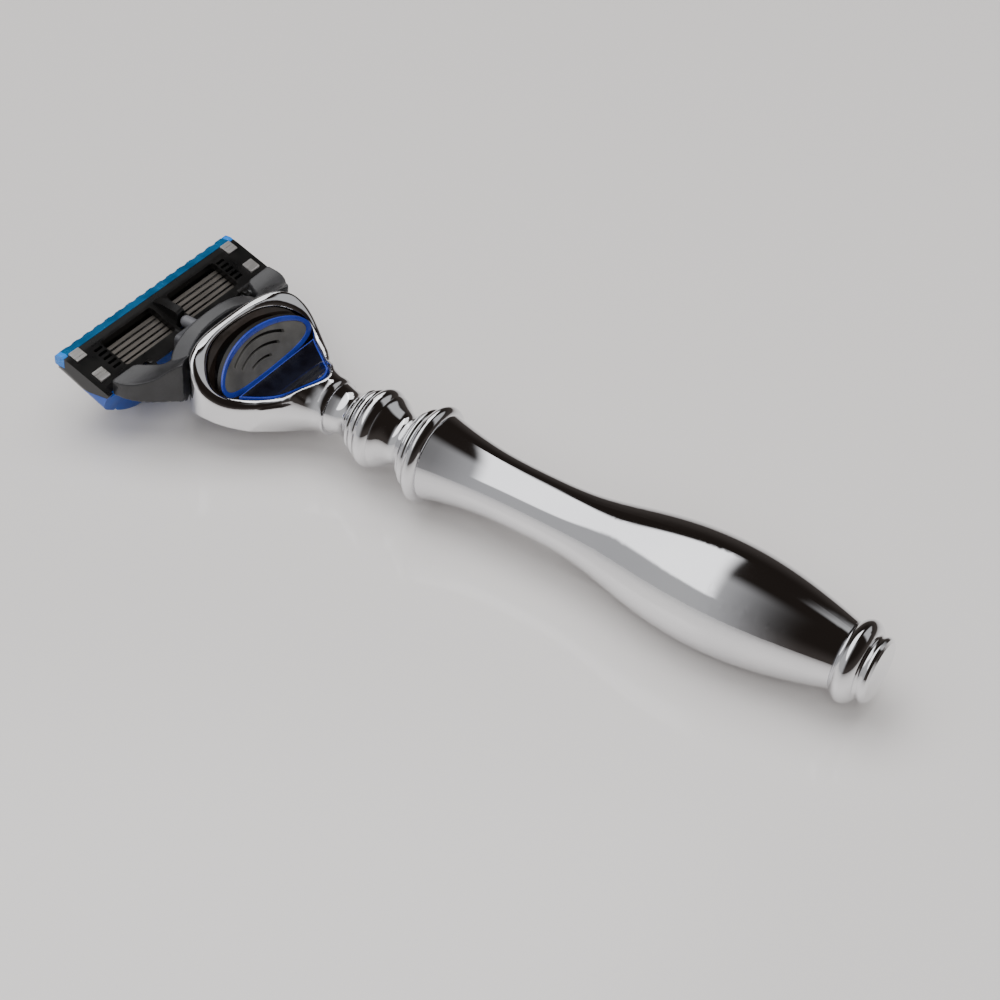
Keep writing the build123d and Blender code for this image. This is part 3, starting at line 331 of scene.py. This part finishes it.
def refine(node, bevel_mm):
    """Welds a CAD node's seams, rounds its sharp edges and smooths its shading."""
    piece = frame["nodes"][node]
    weld = piece.modifiers.new("weld", "WELD")
    weld.merge_threshold = weld_distance
    bevel = piece.modifiers.new("bevel", "BEVEL")
    bevel.width = bevel_mm * MM
    bevel.segments = 3
    bevel.limit_method = "ANGLE"
    bevel.angle_limit = math.radians(sharp_degrees)
    bevel.use_clamp_overlap = True
    bevel.harden_normals = False
    piece.modifiers.new("normals", "WEIGHTED_NORMAL")


voxel_mm = 0.13
bezel_passes = 14
yoke_passes = 16
crest_floor_mm = 10.4        # above the floor of the bowl, below the lowest point of the rim
outer_crest_mm = 1.3
inner_crest_mm = 0.8
wall_depth_mm = 1.5          # how far below the crest a wall still counts as the rim's own
steep = 0.3                  # a wall's normal rises less than this
level = 0.5                  # a top's normal rises more than this


def plan_tree(places):
    """Search tree over places seen from above."""
    tree = KDTree(len(places))
    for index, place in enumerate(places):
        tree.insert((place.x, place.y, 0), index)
    tree.balance()
    return tree


def round_crest(mesh, centre, floor, outer_radius, inner_radius):
    """Lowers the top of a rim beside its outer and inner walls, so that its section is a round crest."""
    high = [v for v in mesh.vertices if v.co.z > floor]
    tops = [v.co.copy() for v in high if v.normal.z > level]
    top_tree = plan_tree(tops)
    walls = {outer_radius: [], inner_radius: []}
    for vertex in high:
        crest = tops[top_tree.find((vertex.co.x, vertex.co.y, 0))[1]].z
        if abs(vertex.normal.z) < steep and vertex.co.z > crest - wall_depth_mm * MM:
            outward = vertex.normal.dot(vertex.co - centre) > 0
            walls[outer_radius if outward else inner_radius].append(vertex.co.copy())
    trees = {radius: plan_tree(places) for radius, places in walls.items()}
    for vertex in mesh.vertices:
        if vertex.co.z < floor - outer_radius:
            continue
        spot = (vertex.co.x, vertex.co.y, 0)
        crest = tops[top_tree.find(spot)[1]].z
        for radius, tree in trees.items():
            depth = radius - min(tree.find(spot)[2], radius)
            vertex.co.z = min(vertex.co.z, crest - radius + math.sqrt(radius ** 2 - depth ** 2))


def rebuild_mesh(piece, passes):
    """Rebuilds a piece's mesh from small voxels and smooths it."""
    remesh = piece.modifiers.new("remesh", "REMESH")
    remesh.mode = "VOXEL"
    remesh.voxel_size = voxel_mm * MM
    remesh.use_smooth_shade = True
    smooth = piece.modifiers.new("smooth", "SMOOTH")
    smooth.factor = 0.5
    smooth.iterations = passes
    depsgraph = bpy.context.evaluated_depsgraph_get()
    shaped = bpy.data.meshes.new_from_object(piece.evaluated_get(depsgraph))
    piece.modifiers.clear()
    piece.data = shaped


def soft_copy(node, body, look, passes, crest=None):
    """Stand-in for a CAD node with its edges rounded, as casting and polishing leave them."""
    source = frame["nodes"][node]
    piece = bpy.data.objects.new(node + "_soft", source.data.copy())
    bpy.context.scene.collection.objects.link(piece)
    if crest:
        rebuild_mesh(piece, 1)
        round_crest(piece.data, *crest)
    rebuild_mesh(piece, passes)
    piece.data.materials.clear()
    piece.data.materials.append(look)
    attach(piece, body)
    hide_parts(node)
    return piece


def make_springs(look):
    """Stand-ins for the coil springs, each a copy of its CAD node fixed to the handle; the real springs
    shorten towards their fixed ends as their joints move.
    """
    for joint in frame["record"]["behaviour"]["joints"]:
        for row in joint.get("deforming_nodes", []):
            piece = bpy.data.objects.new(row["node"] + "_coil", frame["nodes"][row["node"]].data.copy())
            bpy.context.scene.collection.objects.link(piece)
            piece.data.materials.clear()
            piece.data.materials.append(look)
            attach(piece, "handle")
            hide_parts(row["node"])
            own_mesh(piece)


def dress_nodes(looks):
    """Gives every CAD node the material of its slot."""
    slots = {row["node"]: row["material_slot"] for row in frame["record"]["subparts"]}
    for name, piece in frame["nodes"].items():
        piece.data.materials.clear()
        piece.data.materials.append(looks[slots[name]])


# ---------------------------------------------------------------- scene
make_camera()
make_floor()
make_world()
make_light("fill", (0.5, -0.9, 0.9), (0, 0, 0), (0.8, 0.8), 8.0)
make_light("ceiling", (-0.2, 0.3, 2.4), (0, 0, 0), (3.0, 3.0), 68.0)
card = make_light("head_card", (-0.195, 0.175, 0.205), head_place, (0.19, 0.19), 0.20, reflected=True)
looks = build_materials()
dress_nodes(looks)

bowl_middle = sum((Vector(corner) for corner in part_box("surround")), Vector()) / 2
crest = (bowl_middle, crest_floor_mm * MM, outer_crest_mm * MM, inner_crest_mm * MM)
bezel = soft_copy("head_bezel", "handle", looks["chrome_plate"], bezel_passes, crest)
yoke = soft_copy("yoke", "yoke", looks["yoke_charcoal"], yoke_passes)
make_springs(looks["spring_steel"])

# the card shows only in the head, the neck, the collar and the yoke
lit_by_card = bpy.data.collections.new("lit_by_card")
for piece in (bezel, yoke, frame["nodes"]["neck"], frame["nodes"]["flange_collar"]):
    lit_by_card.objects.link(piece)
card.light_linking.receiver_collection = lit_by_card

for node in ("housing", "guard", "cap_rail", "docking_nose", "plunger"):
    refine(node, 0.12)
for node in ("clip_left", "clip_right", "comb_end_left", "comb_end_right", "button_rim", "trimmer_comb"):
    refine(node, 0.08)
